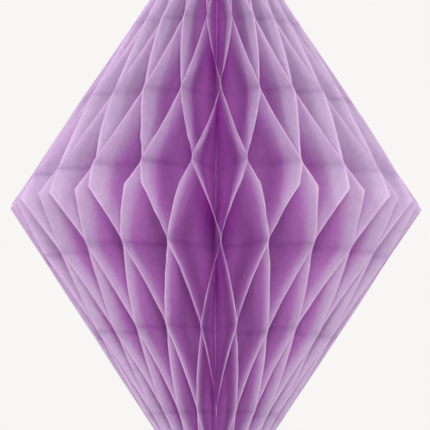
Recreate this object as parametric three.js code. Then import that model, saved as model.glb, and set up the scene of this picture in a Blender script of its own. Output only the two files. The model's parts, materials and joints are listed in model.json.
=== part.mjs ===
// A hanging tissue-paper decoration: a honeycomb diamond, shown fully opened.
// Half-diamond sheets of tissue stand round a spine like the pages of a book. Each sheet is glued to
// its two neighbours along alternate level rows, so opening the book stretches it into cells. Two card
// covers end the stack and meet back to back at +Y, held by adhesive tabs.
// Millimetres, +Z up. The origin is the point of the hanging eye that bears on the cord.
import * as THREE from "three";

// Driving dimensions
const SHEET_COUNT = 44;
const RIM_RADIUS = 100; // from the spine to the rim's corner, at the widest level
const APEX_HEIGHT = 152.5; // from the widest level to where the rim's lines meet the spine
const GLUE_ROW_PITCH = 38.5;
const GLUE_ROW_LEVEL = -25.6; // the glue row nearest below the widest level
const GLUE_ROW_WIDTH = 5;
const LOWEST_ROW = -3; // rows are counted from the one at GLUE_ROW_LEVEL
const HIGHEST_ROW = 4;

const TISSUE_THICKNESS = 0.1;
const TISSUE_GAP = 0.3; // between two glued sheets
const TISSUE_START = 4; // the sheets' inner edge, measured from their own fold line
const TIP_WIDTH = 5.5; // the rim's distance from the spine where a sheet ends, top and bottom

const CARD_THICKNESS = 0.6;
const CARD_START = 2;
const SEAM_GAP = 1; // between the two covers, back to back
const CLOSED_GAP = 3; // between the two covers when the book is shut on its sheets
const TAB_THICKNESS = 0.4;
const TAB_LEVELS = { top: 70, middle: 0, bottom: -70 };
const TAB_HEIGHT = 16;
const TAB_WIDTH = 12;
const TAB_INSET = 8; // from the rim's line, at the tab's middle

const THREAD_RADIUS = 1;
const THREAD_END = 148;
const KNOT_RADIUS = 3;
const CLEARANCE = 0.3;
const EYE_THREAD_RADIUS = 1;
const EYE_HALF_WIDTH = 6; // to the middle of the eye's thread
const EYE_HALF_HEIGHT = 7.5;

const THREAD_SIDES = 12;
const KNOT_SIDES = 16;
const KNOT_RINGS = 10;
const EYE_SIDES = 8;
const EYE_STEPS = 32;

// Worked out from the above
const FOLD_SPREAD = (CLOSED_GAP / 2 + CARD_THICKNESS + SEAM_GAP / 2) / 2; // half the spine's width
const TIP_LEVEL = APEX_HEIGHT * (1 - TIP_WIDTH / RIM_RADIUS);
const KNOT_LEVEL = THREAD_END + CLEARANCE + KNOT_RADIUS;
const EYE_LEVEL = KNOT_LEVEL + KNOT_RADIUS + CLEARANCE + EYE_THREAD_RADIUS + EYE_HALF_HEIGHT;
const BEARING_LEVEL = EYE_LEVEL + EYE_HALF_HEIGHT - EYE_THREAD_RADIUS;

// Looks
const TISSUE = { color: 0xb583c6, roughness: 0.85, metalness: 0 };
const CARD = { color: 0xa874bc, roughness: 0.7, metalness: 0 };
const ADHESIVE = { color: 0xf1eee6, roughness: 0.6, metalness: 0 };
const THREAD = { color: 0xa47fb6, roughness: 0.8, metalness: 0 };

function piece(name, geometry, look) {
  const mesh = new THREE.Mesh(geometry, new THREE.MeshStandardMaterial(look));
  mesh.name = name;
  return mesh;
}

// Distance from the spine to the sheets' cut rim at a level
function rimAt(level) {
  return RIM_RADIUS * (1 - Math.abs(level) / APEX_HEIGHT);
}

// How far round a plane of the stack stands, from -1 at the left cover to 1 at the right one,
// where a sheet's two neighbouring planes are at sheet - 1 and sheet, out of SHEET_COUNT
function shareOfStack(plane) {
  return (2 * plane) / SHEET_COUNT - 1;
}

// Levels at which a sheet's outline or slope changes
function sheetLevels() {
  const levels = [-TIP_LEVEL, 0, TIP_LEVEL];
  for (let row = LOWEST_ROW; row <= HIGHEST_ROW; row++) {
    const middle = GLUE_ROW_LEVEL + row * GLUE_ROW_PITCH;
    levels.push(middle - GLUE_ROW_WIDTH / 2, middle + GLUE_ROW_WIDTH / 2);
  }
  return levels.sort((a, b) => a - b);
}

// 1 where an even sheet is glued to the next one, -1 where it is glued to the one before
function leanAt(level) {
  const row = Math.round((level - GLUE_ROW_LEVEL) / GLUE_ROW_PITCH);
  const away = Math.abs(level - GLUE_ROW_LEVEL - row * GLUE_ROW_PITCH);
  const slope = (GLUE_ROW_PITCH / 2 - away) / (GLUE_ROW_PITCH / 2 - GLUE_ROW_WIDTH / 2);
  return (row % 2 === 0 ? 1 : -1) * Math.min(1, slope);
}

// One sheet as a thin closed body. Its levels are straight lines out from the fold line, each turned
// towards one neighbour or the other.
function sheetGeometry(sheet) {
  const levels = sheetLevels();
  const side = sheet % 2 === 0 ? 1 : -1;
  const positions = [];
  for (const level of levels) {
    const lean = side * leanAt(level);
    const share = shareOfStack(sheet - 0.5 + lean / 2);
    const turn = Math.PI * share;
    const out = new THREE.Vector3(Math.sin(turn), -Math.cos(turn), 0);
    const across = new THREE.Vector3(Math.cos(turn), Math.sin(turn), 0);
    const stand = (-lean * (TISSUE_GAP + TISSUE_THICKNESS)) / 2;
    for (const reach of [TISSUE_START, rimAt(level)]) {
      for (const face of [-0.5, 0.5]) {
        const point = new THREE.Vector3(FOLD_SPREAD * share, 0, level);
        point.addScaledVector(out, reach);
        point.addScaledVector(across, stand + face * TISSUE_THICKNESS);
        positions.push(...point.toArray());
      }
    }
  }
  // Four corners a level: inner back, inner front, outer back, outer front. Both broad faces are
  // split along the same diagonal, so that the sheet keeps its thickness where it twists.
  const walls = [[0, 2, 6, 4], [2, 3, 7, 6], [1, 5, 7, 3], [1, 0, 4, 5]];
  const faces = [0, 1, 2, 1, 3, 2];
  for (let step = 0; step + 1 < levels.length; step++) {
    for (const [a, b, c, d] of walls.map((wall) => wall.map((corner) => 4 * step + corner))) {
      faces.push(a, b, c, a, c, d);
    }
  }
  const last = 4 * (levels.length - 1);
  faces.push(last, last + 2, last + 1, last + 1, last + 2, last + 3);
  const geometry = new THREE.BufferGeometry();
  geometry.setAttribute("position", new THREE.Float32BufferAttribute(positions, 3));
  geometry.setIndex(faces);
  geometry.computeVertexNormals();
  return geometry;
}

// A flat card the size of a sheet, standing in the YZ plane with its outer face at `outerFace`
function coverGeometry(outerFace, sign) {
  const outline = new THREE.Shape();
  outline.moveTo(CARD_START, -TIP_LEVEL);
  outline.lineTo(TIP_WIDTH, -TIP_LEVEL);
  outline.lineTo(RIM_RADIUS, 0);
  outline.lineTo(TIP_WIDTH, TIP_LEVEL);
  outline.lineTo(CARD_START, TIP_LEVEL);
  outline.closePath();
  const geometry = new THREE.ExtrudeGeometry(outline, { depth: CARD_THICKNESS, bevelEnabled: false });
  // the outline's x becomes +Y, its y becomes +Z and its depth becomes +X
  geometry.rotateX(Math.PI / 2).rotateZ(Math.PI / 2);
  return geometry.translate(sign > 0 ? outerFace : outerFace - CARD_THICKNESS, 0, 0);
}

// A flat piece between the two covers, near their rims
function closureTab(place, level) {
  const box = new THREE.BoxGeometry(TAB_THICKNESS, TAB_WIDTH, TAB_HEIGHT);
  const tab = piece(`closure_tab_${place}`, box, ADHESIVE);
  tab.position.set(0, rimAt(level) - TAB_INSET - TAB_WIDTH / 2, level);
  return tab;
}

function spineThread() {
  const thread = new THREE.CylinderGeometry(THREAD_RADIUS, THREAD_RADIUS, 2 * THREAD_END, THREAD_SIDES);
  return piece("spine_thread", thread.rotateX(Math.PI / 2), THREAD);
}

function knot(name, level) {
  const ball = piece(name, new THREE.SphereGeometry(KNOT_RADIUS, KNOT_SIDES, KNOT_RINGS), THREAD);
  ball.position.z = level;
  return ball;
}

// An upright ring of thread, pulled taller than it is wide. The thread's section stays round.
function hangingEye() {
  const ring = new THREE.TorusGeometry(EYE_HALF_WIDTH, EYE_THREAD_RADIUS, EYE_SIDES, EYE_STEPS);
  const points = ring.attributes.position;
  for (let i = 0; i < points.count; i++) {
    const round = Math.atan2(points.getY(i), points.getX(i));
    points.setY(i, points.getY(i) + Math.sin(round) * (EYE_HALF_HEIGHT - EYE_HALF_WIDTH));
  }
  ring.computeVertexNormals();
  const eye = piece("hanging_eye", ring.rotateX(Math.PI / 2), THREAD);
  eye.position.z = EYE_LEVEL;
  return eye;
}

const decoration = new THREE.Group();
decoration.position.z = -BEARING_LEVEL;
decoration.add(spineThread(), hangingEye());
decoration.add(knot("top_knot", KNOT_LEVEL), knot("bottom_knot", -KNOT_LEVEL));
decoration.add(piece("left_cover_card", coverGeometry(-SEAM_GAP / 2, -1), CARD));
decoration.add(piece("right_cover_card", coverGeometry(SEAM_GAP / 2, 1), CARD));
for (const [place, level] of Object.entries(TAB_LEVELS)) {
  decoration.add(closureTab(place, level));
}
for (let sheet = 1; sheet <= SHEET_COUNT; sheet++) {
  const name = `tissue_sheet_${String(sheet).padStart(2, "0")}`;
  decoration.add(piece(name, sheetGeometry(sheet), TISSUE));
}

export default decoration;
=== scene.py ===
import json
import math

import bpy
import numpy as np
from mathutils import Matrix, Vector


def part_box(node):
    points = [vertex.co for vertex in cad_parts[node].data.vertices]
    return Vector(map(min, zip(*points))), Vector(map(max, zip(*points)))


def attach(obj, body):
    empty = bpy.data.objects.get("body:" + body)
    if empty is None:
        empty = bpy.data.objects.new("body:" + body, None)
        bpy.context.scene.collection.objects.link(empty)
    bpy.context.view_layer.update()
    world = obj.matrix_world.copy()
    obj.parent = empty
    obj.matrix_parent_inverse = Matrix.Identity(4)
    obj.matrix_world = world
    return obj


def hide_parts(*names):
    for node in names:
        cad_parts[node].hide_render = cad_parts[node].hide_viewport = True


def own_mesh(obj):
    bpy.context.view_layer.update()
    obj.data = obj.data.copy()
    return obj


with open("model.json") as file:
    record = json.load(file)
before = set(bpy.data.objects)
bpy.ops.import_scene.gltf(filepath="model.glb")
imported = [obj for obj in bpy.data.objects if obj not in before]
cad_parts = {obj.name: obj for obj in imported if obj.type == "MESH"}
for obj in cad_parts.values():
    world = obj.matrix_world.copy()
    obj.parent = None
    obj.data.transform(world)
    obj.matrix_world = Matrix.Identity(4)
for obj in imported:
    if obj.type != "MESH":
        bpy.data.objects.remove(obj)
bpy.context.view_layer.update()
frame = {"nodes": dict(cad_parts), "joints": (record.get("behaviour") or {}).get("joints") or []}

# ---- Sizes that the frame doesn't hold, in metres --------------------------------------------------

APEX_HEIGHT = 0.1525      # from the widest level to where the rim's lines meet the spine
ROW_PITCH = 0.0385        # between two rows of glue
ROW_LEVEL = -0.0256       # the glue row nearest below the widest level
ROW_WIDTH = 0.0035        # of a row of glue, as far as it shows
ROW_BEND = 60             # how sharply a sheet bends where it leaves a glue row
TISSUE_START = 0.0013     # the sheets' inner edge, from their own fold line
TISSUE_END = 0.1465       # the level where a sheet ends, above and below the widest one
GLUED_HALF_GAP = 0.00005  # half the gap between two sheets on their glue
LEVEL_COUNT = 187         # odd, so that the middle one is at the corner of the rim
COLUMNS = 25              # across a sheet, before the columns at its cut rim
CUT_EDGE = 0.0011         # width of the pale line along the cut rim, a painted highlight
SAG = 0.06                # drop of a sheet's glue rows from the spine out to the rim, as a slope

# Unevenness of the handwork. The first three are standard deviations.
PLANE_SHAKE = 0.05        # of a row of glue round the stack, in planes
ROW_SHAKE = 0.0006        # of a row of glue, up and down
CUT_SHAKE = 0.0003        # of a sheet's cut, up and down and outwards
BILLOW = 0.06             # of a sheet between its glue rows, over its distance from the glued plane
BILLOW_LENGTHS = (0.03, 0.09)
CREASES = 0.13            # close to the glue, over the same distance
CREASE_LENGTHS = (0.009, 0.02)
CREASE_FADES = 0.010      # how far from the glue they die away
PUCKER = 0.00012          # of a glued pair, to either side
PUCKER_LENGTHS = (0.006, 0.011)

# ---- The frame's own facts -------------------------------------------------------------------------

JOINTS = {joint["name"]: joint for joint in frame["joints"]}
SHEET_COUNT = sum(name.startswith("tissue_sheet_") for name in frame["nodes"])
FOLD_SPREAD = JOINTS["fan_open"]["pos_m"][0]
card_low, card_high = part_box("right_cover_card")
RIM_RADIUS = card_high.y
WIDEST_LEVEL = (card_low.z + card_high.z) / 2
SHEET_TURN = 2 * math.pi / SHEET_COUNT
CENTRE = Vector((0, 0, WIDEST_LEVEL))


# ---- Camera ----------------------------------------------------------------------------------------

CAMERA_DISTANCE = 2.54
CAMERA_BELOW = math.radians(7.2)
CAMERA_LEFT = math.radians(1.3)
CAMERA_ROLL = math.radians(0.25)
CAMERA_LENS = 434         # on the default sensor, 36 mm wide
AIM = CENTRE + Vector((-0.0004, 0, -0.0034))


def make_camera():
    data = bpy.data.cameras.new("camera")
    data.lens = CAMERA_LENS
    camera = bpy.data.objects.new("camera", data)
    bpy.context.scene.collection.objects.link(camera)
    back = Vector((
        -math.sin(CAMERA_LEFT) * math.cos(CAMERA_BELOW),
        -math.cos(CAMERA_LEFT) * math.cos(CAMERA_BELOW),
        -math.sin(CAMERA_BELOW),
    ))
    camera.location = CENTRE + back * CAMERA_DISTANCE
    turn = (AIM - camera.location).to_track_quat("-Z", "Y").to_matrix()
    camera.rotation_euler = (turn @ Matrix.Rotation(CAMERA_ROLL, 3, "Z")).to_euler()
    bpy.context.scene.camera = camera


make_camera()


# ---- Helpers ---------------------------------------------------------------------------------------

def mesh_object(name, vertices, faces, smooth=True):
    mesh = bpy.data.meshes.new(name)
    mesh.from_pydata([tuple(v) for v in vertices], [], [tuple(f) for f in faces])
    mesh.update()
    mesh.polygons.foreach_set("use_smooth", [smooth] * len(mesh.polygons))
    piece = bpy.data.objects.new(name, mesh)
    bpy.context.scene.collection.objects.link(piece)
    return piece


def point_attribute(piece, name, values):
    attribute = piece.data.attributes.new(name, "FLOAT", "POINT")
    attribute.data.foreach_set("value", np.asarray(values, np.float32).ravel())


def new_material(name):
    material = bpy.data.materials.new(name)
    material.use_nodes = True
    nodes, links = material.node_tree.nodes, material.node_tree.links
    nodes.clear()
    output = nodes.new("ShaderNodeOutputMaterial")
    return material, nodes, links, output


def attribute_node(nodes, name):
    node = nodes.new("ShaderNodeAttribute")
    node.attribute_name = name
    return node


def noise_node(nodes, links, scale, detail, stretch=(1, 1, 1)):
    where = nodes.new("ShaderNodeTexCoord")
    mapping = nodes.new("ShaderNodeMapping")
    mapping.inputs["Scale"].default_value = stretch
    noise = nodes.new("ShaderNodeTexNoise")
    noise.inputs["Scale"].default_value = scale
    noise.inputs["Detail"].default_value = detail
    noise.inputs["Roughness"].default_value = 0.6
    links.new(where.outputs["Object"], mapping.inputs["Vector"])
    links.new(mapping.outputs["Vector"], noise.inputs["Vector"])
    return noise


def ramp_node(nodes, links, source, stops):
    ramp = nodes.new("ShaderNodeValToRGB")
    first, last = ramp.color_ramp.elements
    first.position, first.color = stops[0][0], (*stops[0][1], 1)
    last.position, last.color = stops[-1][0], (*stops[-1][1], 1)
    for position, colour in stops[1:-1]:
        ramp.color_ramp.elements.new(position).color = (*colour, 1)
    links.new(source, ramp.inputs["Fac"])
    return ramp.outputs["Color"]


def mix_node(nodes, links, one, other, share=None, blend="MULTIPLY"):
    mix = nodes.new("ShaderNodeMix")
    mix.data_type = "RGBA"
    mix.blend_type = blend
    mix.inputs["Factor"].default_value = 1
    for socket, source in (("A", one), ("B", other), ("Factor", share)):
        if isinstance(source, tuple):
            mix.inputs[socket].default_value = (*source, 1)
        elif source is not None:
            links.new(source, mix.inputs[socket])
    return mix.outputs["Result"]


def bump_node(nodes, links, height, strength, distance):
    bump = nodes.new("ShaderNodeBump")
    bump.inputs["Strength"].default_value = strength
    bump.inputs["Distance"].default_value = distance
    links.new(height, bump.inputs["Height"])
    return bump.outputs["Normal"]


# ---- Materials -------------------------------------------------------------------------------------

# Real tissue is most likely one colour. These vary it over a sheet, to bring its light and shade closer
# to the photo's: paler along the rim, and lighter than any real dye towards the spine.
TISSUE_RIM = (0.61, 0.53, 0.665)
TISSUE_MIDDLE = (0.57, 0.26, 0.60)
TISSUE_HEART = (1.00, 0.60, 1.00)
RIM_LIGHT_FADES = (0.10, 0.22)      # in from the cut rim, over the widest radius, where the painted lit band along the rim fades out
LOWER_SHADE = 1.9             # how much narrower the painted lit band along the rim gets below the widest level, as painted shade from light above
LOWER_SHADE_REACH = 0.04      # how far down that comes on
HEART_FADES = (0.35, 0.60)    # in from the cut rim, over the sheet's width at that level, where painted light towards the spine comes in
TISSUE_THROUGH = (0.82, 0.44, 0.85)
TISSUE_SHOWS_THROUGH = 0.37
# The pale line along the cut rim is a painted highlight
CUT_EDGE_HIGHLIGHT = (1.00, 0.84, 1.00)
GLUE_STAIN = (0.88, 0.80, 0.90)
GLUE_STAIN_FADES = 0.0008     # up and down from the middle of a glue row
CARD_FACE_DARK, CARD_FACE_LIGHT = (0.44, 0.22, 0.52), (0.52, 0.28, 0.60)
CARD_CORE_DARK, CARD_CORE_LIGHT = (0.48, 0.38, 0.51), (0.64, 0.53, 0.67)
TAB_DARK, TAB_LIGHT = (0.80, 0.77, 0.70), (0.92, 0.90, 0.84)
THREAD_DARK, THREAD_LIGHT = (0.62, 0.24, 0.66), (0.74, 0.32, 0.78)


def tissue_material():
    """Thin dyed tissue: cloudy fibre, a faint stain at each glue row, and a painted lit band and a painted
    highlight along the cut rim. Towards the spine its colour is painted lighter, as painted light where
    little light gets in."""
    material, nodes, links, output = new_material("tissue")
    outer = ramp_node(nodes, links, attribute_node(nodes, "depth").outputs["Fac"], [
        (RIM_LIGHT_FADES[0], TISSUE_RIM), (RIM_LIGHT_FADES[1], TISSUE_MIDDLE),
    ])
    inward = ramp_node(nodes, links, attribute_node(nodes, "heart").outputs["Fac"], [
        (HEART_FADES[0], (0.0,) * 3), (HEART_FADES[1], (1.0,) * 3),
    ])
    # Painted light: the rim colour is a painted lit band and the heart colour is painted light towards the
    # spine; the middle colour between them is the tissue's own
    tone_and_painted_light = mix_node(nodes, links, outer, TISSUE_HEART, inward, "MIX")
    clouds = noise_node(nodes, links, 240, 6)
    fibre = noise_node(nodes, links, 2400, 3, (1, 1, 0.35))
    cloudy = ramp_node(nodes, links, clouds.outputs["Fac"], [(0.3, (0.92,) * 3), (0.7, (1.04,) * 3)])
    fibrous = ramp_node(nodes, links, fibre.outputs["Fac"], [(0.35, (0.94,) * 3), (0.65, (1.04,) * 3)])
    stain = ramp_node(nodes, links, attribute_node(nodes, "glue").outputs["Fac"], [
        (0.0, (1.0,) * 3), (1.0, GLUE_STAIN),
    ])
    paper = mix_node(nodes, links, mix_node(nodes, links, cloudy, fibrous), stain)
    colour = mix_node(nodes, links, tone_and_painted_light, paper)
    # Painted highlight: the cut rim is drawn pale, more so the more edge-on it is seen
    seen_edge_on = nodes.new("ShaderNodeLayerWeight")
    edge_highlight = nodes.new("ShaderNodeMath")
    edge_highlight.operation = "MULTIPLY"
    links.new(attribute_node(nodes, "edge_highlight").outputs["Fac"], edge_highlight.inputs[0])
    links.new(seen_edge_on.outputs["Facing"], edge_highlight.inputs[1])
    colour = mix_node(nodes, links, colour, CUT_EDGE_HIGHLIGHT, edge_highlight.outputs["Value"], "MIX")
    normal = bump_node(nodes, links, clouds.outputs["Fac"], 0.25, 0.0002)

    surface = nodes.new("ShaderNodeBsdfPrincipled")
    surface.inputs["Roughness"].default_value = 0.75
    surface.inputs["Specular IOR Level"].default_value = 0.1
    links.new(colour, surface.inputs["Base Color"])
    links.new(normal, surface.inputs["Normal"])
    through = nodes.new("ShaderNodeBsdfTranslucent")
    links.new(mix_node(nodes, links, paper, TISSUE_THROUGH), through.inputs["Color"])
    links.new(normal, through.inputs["Normal"])
    both = nodes.new("ShaderNodeMixShader")
    both.inputs["Fac"].default_value = TISSUE_SHOWS_THROUGH
    links.new(surface.outputs["BSDF"], both.inputs[1])
    links.new(through.outputs["BSDF"], both.inputs[2])
    links.new(both.outputs["Shader"], output.inputs["Surface"])
    return material


def card_material():
    """Dyed board. Its cut edges show the greyer core between the coloured faces."""
    material, nodes, links, output = new_material("cover_card")
    grain = noise_node(nodes, links, 900, 8)
    fibre = noise_node(nodes, links, 500, 6, (1, 1, 6))
    face = ramp_node(nodes, links, grain.outputs["Fac"], [(0.3, CARD_FACE_DARK), (0.7, CARD_FACE_LIGHT)])
    core = ramp_node(nodes, links, fibre.outputs["Fac"], [(0.3, CARD_CORE_DARK), (0.7, CARD_CORE_LIGHT)])
    where = nodes.new("ShaderNodeTexCoord")
    parts = nodes.new("ShaderNodeSeparateXYZ")
    links.new(where.outputs["Normal"], parts.inputs["Vector"])
    sideways = nodes.new("ShaderNodeMath")
    sideways.operation = "ABSOLUTE"
    links.new(parts.outputs["X"], sideways.inputs[0])
    colour = mix_node(nodes, links, core, face, sideways.outputs["Value"], "MIX")
    surface = nodes.new("ShaderNodeBsdfPrincipled")
    surface.inputs["Roughness"].default_value = 0.65
    links.new(colour, surface.inputs["Base Color"])
    links.new(bump_node(nodes, links, grain.outputs["Fac"], 0.4, 0.0001), surface.inputs["Normal"])
    links.new(surface.outputs["BSDF"], output.inputs["Surface"])
    return material


def grained_material(name, dark, light, roughness, scale, stretch=(1, 1, 1), sheen=0.0):
    """A dull surface whose colour varies between two tones, with a fine bump."""
    material, nodes, links, output = new_material(name)
    grain = noise_node(nodes, links, scale, 8, stretch)
    colour = ramp_node(nodes, links, grain.outputs["Fac"], [(0.3, dark), (0.7, light)])
    surface = nodes.new("ShaderNodeBsdfPrincipled")
    surface.inputs["Roughness"].default_value = roughness
    surface.inputs["Specular IOR Level"].default_value = 0.3
    surface.inputs["Sheen Weight"].default_value = sheen
    links.new(colour, surface.inputs["Base Color"])
    links.new(bump_node(nodes, links, grain.outputs["Fac"], 0.5, 0.0001), surface.inputs["Normal"])
    links.new(surface.outputs["BSDF"], output.inputs["Surface"])
    return material


TISSUE = tissue_material()
CARD = card_material()
ADHESIVE = grained_material("adhesive_tab", TAB_DARK, TAB_LIGHT, roughness=0.5, scale=1500)
THREAD = grained_material(
    "thread", THREAD_DARK, THREAD_LIGHT, roughness=0.85, scale=5000, stretch=(1, 1, 0.3), sheen=0.1,
)


# ---- Tissue sheets ---------------------------------------------------------------------------------
# Planes of the stack are counted from 0, at the left cover, to SHEET_COUNT, at the right one. Sheet n
# hangs between planes n - 1 and n, and is glued to its neighbour at one of them, row after row in turn.
# The two outer planes are the covers, so they stand exactly in place and have no puckers.

ROWS = range(-5, 7)
plane_shake = np.random.RandomState(7)
glue_nodes = {
    (plane, row): {
        "plane": plane + plane_shake.normal(0, PLANE_SHAKE) * (0 < plane < SHEET_COUNT),
        "level": ROW_LEVEL + row * ROW_PITCH + plane_shake.normal(0, ROW_SHAKE),
        "pucker_length": plane_shake.uniform(*PUCKER_LENGTHS),
        "pucker_start": plane_shake.uniform(0, 2 * math.pi),
        "pucker": PUCKER * (0 < plane < SHEET_COUNT),
    }
    for plane in range(SHEET_COUNT + 1)
    for row in ROWS
}


def plane_at(sheet, row):
    """The plane that a sheet is glued at, on a row."""
    return sheet if (sheet + row) % 2 == 0 else sheet - 1


def soft_corner(slope):
    """Rises with slope, and levels off softly above 1."""
    return slope - math.log1p(math.exp(ROW_BEND * (slope - 1))) / ROW_BEND


def lean_at(level, low, high):
    """1 on the glue row at the level low and -1 on the one at high, straight in between."""
    half = (high - low) / 2
    side = 1 if level < low + half else -1
    away = level - low if side > 0 else high - level
    slope = (half - away) / (half - ROW_WIDTH / 2)
    return side * (soft_corner(slope) - soft_corner(0)) / (soft_corner(1.2) - soft_corner(0))


def waves(random, across, along, count, lengths):
    """A few slanting waves over a sheet, about 1 high together."""
    total = np.zeros(np.broadcast(across, along).shape)
    for _ in range(count):
        turn = random.uniform(0, 2 * math.pi)
        length = random.uniform(*lengths)
        start = random.uniform(0, 2 * math.pi)
        run = math.cos(turn) * across + math.sin(turn) * along
        total += np.sin(run * 2 * math.pi / length + start)
    return total / math.sqrt(count)


def sheet_grid(random):
    """The levels down a sheet, and the distance of each of its points from the fold line."""
    levels = np.linspace(-TISSUE_END, TISSUE_END, LEVEL_COUNT)
    lift = random.normal(0, CUT_SHAKE)
    slip = random.normal(0, CUT_SHAKE)
    levels[LEVEL_COUNT // 2] = lift
    rim = RIM_RADIUS * (1 - np.abs(levels - lift) / APEX_HEIGHT) + slip
    rim = np.maximum(rim, TISSUE_START + 4 * CUT_EDGE)
    inner = TISSUE_START + np.outer(rim - 3 * CUT_EDGE - TISSUE_START, np.linspace(0, 1, COLUMNS))
    edge = np.stack([rim - 2 * CUT_EDGE, rim - CUT_EDGE, rim], axis=1)
    return levels, np.hstack([inner, edge])


def sheet_stance(sheet, levels):
    """Where each level of a sheet stands: its place in the stack, its side of the glue, its nearest glue."""
    places, sides, nearest, away = [], [], [], []
    for level in levels:
        row = max(r for r in ROWS[:-1] if glue_nodes[plane_at(sheet, r), r]["level"] <= level)
        low = glue_nodes[plane_at(sheet, row), row]
        high = glue_nodes[plane_at(sheet, row + 1), row + 1]
        lean = lean_at(level, low["level"], high["level"])
        places.append((1 + lean) / 2 * low["plane"] + (1 - lean) / 2 * high["plane"])
        sides.append(-lean if plane_at(sheet, row) == sheet else lean)
        node = low if lean > 0 else high
        nearest.append(node)
        away.append(abs(level - node["level"]))
    return np.array(places), np.array(sides), nearest, np.array(away)


def puckers(nearest, away, reach):
    """Ripples that both sheets of a glued pair share, on and close to their glue."""
    held = np.exp(-((away / ROW_WIDTH) ** 2))[:, None]
    size = np.array([node["pucker"] for node in nearest])[:, None]
    length = np.array([node["pucker_length"] for node in nearest])[:, None]
    start = np.array([node["pucker_start"] for node in nearest])[:, None]
    return held * size * np.sin(reach * 2 * math.pi / length + start)


def sheet_points(sheet, random):
    """A sheet's points, level by level, with what the material needs to know about each."""
    levels, reach = sheet_grid(random)
    level = levels[:, None] + 0 * reach
    places, sides, nearest, away = sheet_stance(sheet, levels)
    share = 2 * places / SHEET_COUNT - 1
    turn = share * math.pi
    free = reach * SHEET_TURN / 2 * (1 - np.abs(sides))[:, None]
    billow = BILLOW * free * waves(random, reach, level, 5, BILLOW_LENGTHS)
    fading = np.exp(-((away / CREASE_FADES) ** 2))[:, None]
    # Quick from the spine outwards and slow from level to level, so they run mostly up and down
    creases = CREASES * free * fading * waves(random, 2.2 * reach, 0.35 * level, 4, CREASE_LENGTHS)
    stand = sides[:, None] * GLUED_HALF_GAP + billow + creases + puckers(nearest, away, reach)
    out = np.stack([np.sin(turn), -np.cos(turn)], axis=1)[:, None, :]
    across = np.stack([np.cos(turn), np.sin(turn)], axis=1)[:, None, :]
    flat = out * reach[..., None] + across * stand[..., None]
    flat[..., 0] += FOLD_SPREAD * share[:, None]
    raised = SAG * (reach[:, -1:] - reach)
    return np.dstack([flat, WIDEST_LEVEL + level + raised]), levels, reach, away


def make_sheet(sheet):
    node = f"tissue_sheet_{sheet:02d}"
    points, levels, reach, away = sheet_points(sheet, np.random.RandomState(100 + sheet))
    tall, wide = reach.shape
    faces = [
        (k * wide + c, k * wide + c + 1, (k + 1) * wide + c + 1, (k + 1) * wide + c)
        for k in range(tall - 1)
        for c in range(wide - 1)
    ]
    piece = mesh_object(node + "_paper", points.reshape(-1, 3), faces)
    piece.data.materials.append(TISSUE)
    # Painted light and shade: the painted lit band along the rim is narrower below the widest level, as
    # painted shade from light above
    shade = 1 + LOWER_SHADE * np.tanh(np.maximum(0, -levels[:, None]) / LOWER_SHADE_REACH)
    point_attribute(piece, "depth", shade * (reach[:, -1:] - reach) / RIM_RADIUS)
    # Where the painted light towards the spine comes in
    point_attribute(piece, "heart", 1 - reach / reach[:, -1:])
    point_attribute(piece, "glue", np.exp(-((away / GLUE_STAIN_FADES) ** 2))[:, None] + 0 * reach)
    # Where the painted highlight along the cut rim goes
    point_attribute(piece, "edge_highlight", np.repeat([[0.0] * (wide - 2) + [1.0] * 2], tall, axis=0))

    joint = JOINTS[f"sheet_{sheet:02d}_fold"]
    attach(piece, joint["child"])
    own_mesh(piece)
    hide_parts(node)


for sheet in range(1, SHEET_COUNT + 1):
    make_sheet(sheet)


# ---- Thread: spine, knots and eye ------------------------------------------------------------------

PLIES = 3
PLY_SHARE = 1 / (1 + 2 / math.sqrt(3))   # of the thread's radius, where three plies just touch
POINTS_A_TURN = 10
PATH_STEP = 1e-4                         # for the direction of a path, out of its length of 1
SPINE_TURNS = 58
KNOT_TURNS = 20
EYE_TURNS = 9
KNOT_STRAND = 0.23                       # the strand's radius, out of the knot's half-height
TREFOIL_REACH = 3                        # of the trefoil's curve from its middle, before scaling


def plied_thread(name, node, path, reference, radius, turns, closed):
    """Three plies twisted round a path. path takes 0 to 1; reference is never along the path."""
    data = bpy.data.curves.new(name, "CURVE")
    data.dimensions = "3D"
    data.bevel_depth = radius * PLY_SHARE
    data.bevel_resolution = 2
    data.use_fill_caps = True
    count = turns * POINTS_A_TURN
    for ply in range(PLIES):
        spline = data.splines.new("POLY")
        spline.use_cyclic_u = closed
        spline.use_smooth = True
        spline.points.add(count - 1)
        for i, point in enumerate(spline.points):
            at = i / (count if closed else count - 1)
            middle = path(at)
            along = (path(at + PATH_STEP) - path(at - PATH_STEP)).normalized()
            one = reference.cross(along).normalized()
            other = along.cross(one)
            angle = 2 * math.pi * (ply / PLIES + at * turns)
            stand = radius * (1 - PLY_SHARE)
            place = middle + stand * (math.cos(angle) * one + math.sin(angle) * other)
            point.co = (*place, 1)
    piece = bpy.data.objects.new(name, data)
    bpy.context.scene.collection.objects.link(piece)
    data.materials.append(THREAD)
    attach(piece, "spine")
    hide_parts(node)


def make_spine():
    low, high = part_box("spine_thread")
    bottom = Vector((0, 0, low.z))
    run = Vector((0, 0, high.z - low.z))
    plied_thread(
        "spine_plies", "spine_thread", lambda at: bottom + at * run, Vector((1, 0, 0)),
        radius=high.x, turns=SPINE_TURNS, closed=False,
    )


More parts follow.
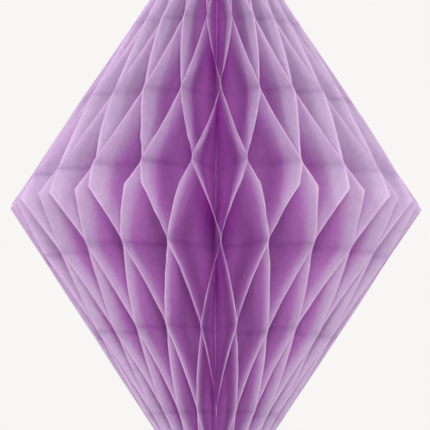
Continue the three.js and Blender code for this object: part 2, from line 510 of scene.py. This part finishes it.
def make_knot(node):
    """A tight overhand knot, as a trefoil that fits the knot's box."""
    low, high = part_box(node)
    middle = (low + high) / 2
    strand = KNOT_STRAND * (high.z - low.z) / 2
    size = ((high.z - low.z) / 2 - strand) / TREFOIL_REACH

    def trefoil(at):
        turn = 2 * math.pi * at
        flat = Vector((
            math.sin(turn) + 2 * math.sin(2 * turn),
            math.cos(turn) - 2 * math.cos(2 * turn),
            -math.sin(3 * turn),
        ))
        return middle + size * flat

    plied_thread(
        node + "_plies", node, trefoil, Vector((0, 0, 1)),
        radius=strand, turns=KNOT_TURNS, closed=True,
    )


def make_eye():
    low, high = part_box("hanging_eye")
    middle = (low + high) / 2
    thread = (high.y - low.y) / 2
    half_wide = high.x - thread
    half_tall = (high.z - low.z) / 2 - thread

    def ring(at):
        turn = 2 * math.pi * at
        return middle + Vector((half_wide * math.cos(turn), 0, half_tall * math.sin(turn)))

    plied_thread(
        "hanging_eye_plies", "hanging_eye", ring, Vector((0, 1, 0)),
        radius=thread, turns=EYE_TURNS, closed=True,
    )


make_spine()
make_knot("top_knot")
make_knot("bottom_knot")
make_eye()


# ---- Closure tabs and covers -----------------------------------------------------------------------

TAB_CORNER = 0.002
TAB_EDGE = 0.00006        # how far a tab's faces stand in from its sides
CORNER_STEPS = 6


def make_tab(node):
    """A sticker with round corners and soft edges, flat against the cover."""
    low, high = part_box(node)
    outline = []
    corners = [(high.y, high.z), (low.y, high.z), (low.y, low.z), (high.y, low.z)]
    for corner, (y, z) in enumerate(corners):
        inward = Vector(((low.y + high.y) / 2 - y, (low.z + high.z) / 2 - z))
        centre = Vector((y + math.copysign(TAB_CORNER, inward.x), z + math.copysign(TAB_CORNER, inward.y)))
        for step in range(CORNER_STEPS + 1):
            turn = (corner + step / CORNER_STEPS) * math.pi / 2
            outline.append((centre, Vector((math.cos(turn), math.sin(turn)))))
    rings = [(low.x, TAB_EDGE), (low.x + TAB_EDGE, 0), (high.x - TAB_EDGE, 0), (high.x, TAB_EDGE)]
    vertices = []
    for x, inset in rings:
        for centre, way in outline:
            place = centre + way * (TAB_CORNER - inset)
            vertices.append((x, place.x, place.y))
    count = len(outline)
    last = len(rings) - 1
    faces = []
    for first in range(0, last * count, count):
        for i in range(count):
            after = (i + 1) % count
            faces.append((first + i, first + after, first + count + after, first + count + i))
    faces.append(tuple(reversed(range(count))))
    faces.append(tuple(range(last * count, (last + 1) * count)))
    piece = mesh_object(node + "_sticker", vertices, faces, smooth=False)
    piece.data.materials.append(ADHESIVE)
    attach(piece, "left_cover")
    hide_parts(node)


def finish_cover(node):
    """The CAD node stays as it is, and gets the card's material."""
    slots = frame["nodes"][node].data.materials
    slots.clear()
    slots.append(CARD)


for node in ("closure_tab_top", "closure_tab_middle", "closure_tab_bottom"):
    make_tab(node)
for node in ("left_cover_card", "right_cover_card"):
    finish_cover(node)


# ---- Floor and light -------------------------------------------------------------------------------

FLOOR_DROP = 0.75         # from the widest level
FLOOR_HALF = 30.0         # half the floor's side
LIGHT_BOUNCES = 32        # the cells are lit by many bounces between the sheets
FLOOR_COLOUR = (0.93, 0.92, 0.91)
BACKDROP = (0.930, 0.922, 0.905)
CEILING = (0.46, 0.46, 0.47)


def make_floor():
    level = WIDEST_LEVEL - FLOOR_DROP
    corners = [(-FLOOR_HALF, -FLOOR_HALF, level), (FLOOR_HALF, -FLOOR_HALF, level)]
    corners += [(FLOOR_HALF, FLOOR_HALF, level), (-FLOOR_HALF, FLOOR_HALF, level)]
    floor = mesh_object("floor", corners, [(0, 1, 2, 3)], smooth=False)
    material, nodes, links, output = new_material("floor")
    surface = nodes.new("ShaderNodeBsdfDiffuse")
    surface.inputs["Color"].default_value = (*FLOOR_COLOUR, 1)
    links.new(surface.outputs["BSDF"], output.inputs["Surface"])
    floor.data.materials.append(material)


def make_world():
    """A pale wall all round, under a dimmer ceiling."""
    world = bpy.data.worlds.new("studio")
    bpy.context.scene.world = world
    world.use_nodes = True
    nodes, links = world.node_tree.nodes, world.node_tree.links
    where = nodes.new("ShaderNodeTexCoord")
    parts = nodes.new("ShaderNodeSeparateXYZ")
    links.new(where.outputs["Generated"], parts.inputs["Vector"])
    colour = ramp_node(nodes, links, parts.outputs["Z"], [(0.35, BACKDROP), (0.6, CEILING)])
    links.new(colour, nodes["Background"].inputs["Color"])


def softbox(name, azimuth, elevation, distance, size, power):
    """A square light that faces the object. Azimuth 0 is in front, 90 to its right."""
    data = bpy.data.lights.new(name, "AREA")
    data.shape = "SQUARE"
    data.size = size
    data.energy = power
    lamp = bpy.data.objects.new(name, data)
    bpy.context.scene.collection.objects.link(lamp)
    a, e = math.radians(azimuth), math.radians(elevation)
    back = Vector((math.sin(a) * math.cos(e), -math.cos(a) * math.cos(e), math.sin(e)))
    lamp.location = CENTRE + back * distance
    lamp.rotation_euler = (-back).to_track_quat("-Z", "Y").to_euler()


make_floor()
make_world()
softbox("front", azimuth=0, elevation=4, distance=2.2, size=0.4, power=19)
softbox("left_key", azimuth=-42, elevation=34, distance=1.6, size=0.25, power=7.5)
softbox("right_key", azimuth=37, elevation=32, distance=1.6, size=0.25, power=5.6)
softbox("rear_left", azimuth=-150, elevation=26, distance=1.8, size=0.8, power=10)
softbox("rear_right", azimuth=152, elevation=26, distance=1.8, size=0.8, power=3)
bpy.context.scene.view_settings.view_transform = "Standard"
bpy.context.scene.cycles.max_bounces = LIGHT_BOUNCES
bpy.context.scene.cycles.diffuse_bounces = LIGHT_BOUNCES
bpy.context.scene.cycles.transmission_bounces = LIGHT_BOUNCES
